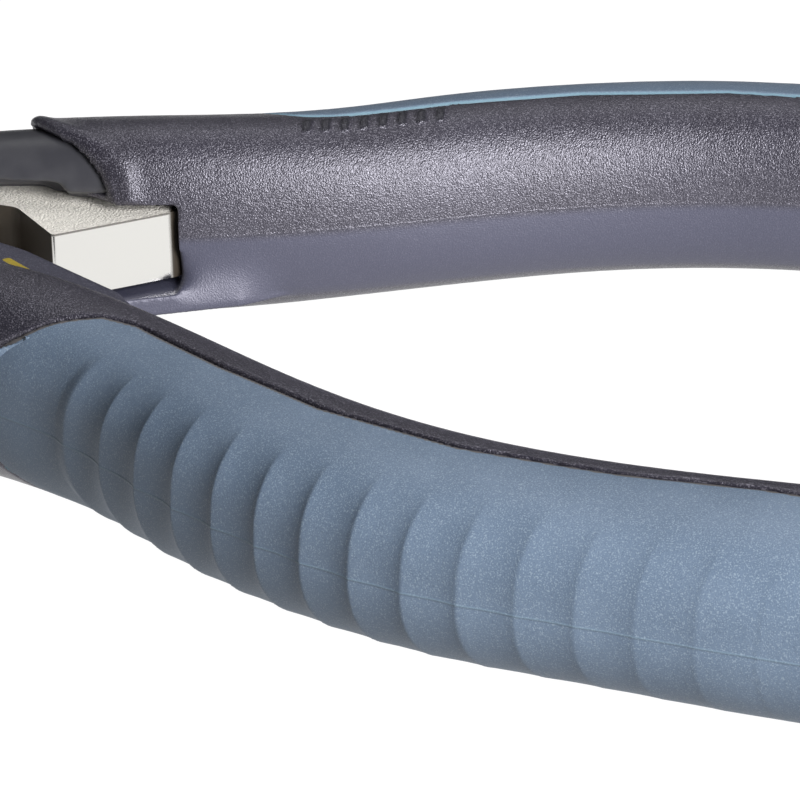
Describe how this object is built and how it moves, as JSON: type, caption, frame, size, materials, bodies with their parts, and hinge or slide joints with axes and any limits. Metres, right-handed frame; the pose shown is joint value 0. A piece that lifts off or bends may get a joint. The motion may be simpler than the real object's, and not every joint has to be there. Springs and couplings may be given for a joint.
{
  "type": "fishing pliers",
  "caption": "Long-nose lap-joint fishing pliers with line cutter, hidden opening spring, bright steel forgings, dark grained handles and ribbed blue-grey grip pads.",
  "frame": {"origin": "on the pivot's axis, in the middle plane of the joint", "axes": "+X from the pivot towards the handle ends, +Y towards the far handle, +Z along the pivot's axis"},
  "size_m": [0.1922, 0.113, 0.019],
  "materials": {
    "forged_steel": "nickel plated forging, blasted flats and ground edges",
    "dark_shell": "fine pebble grain",
    "neck_plastic": "smooth moulded",
    "pad_rubber": "soft ribbed elastomer",
    "spring_steel": "drawn wire",
    "blade_steel": "ground hard steel",
    "fastener_steel": "turned and plated"
  },
  "bodies": {
    "near_half": {"near_jaw": "forged_steel", "pivot_bolt": "fastener_steel", "pivot_washer": "fastener_steel", "pivot_nut": "fastener_steel", "return_spring": "spring_steel", "near_cutter_blade": "blade_steel", "near_cutter_screw": "fastener_steel", "near_handle_core": "neck_plastic", "near_handle_shell": "dark_shell", "near_grip_pad": "pad_rubber"},
    "far_half": {"far_jaw": "forged_steel", "far_cutter_blade": "blade_steel", "far_cutter_screw": "fastener_steel", "far_handle_core": "neck_plastic", "far_handle_shell": "dark_shell", "far_grip_pad": "pad_rubber"}
  },
  "joints": [
    {"name": "jaw_pivot", "type": "hinge", "parent": "near_half", "child": "far_half", "pos_m": [0, 0, 0], "axis": [0, 0, -1], "range_deg": [-4, 28.5], "stiffness_Nm_per_rad": 0.25, "deforming": ["return_spring"]}
  ]
}
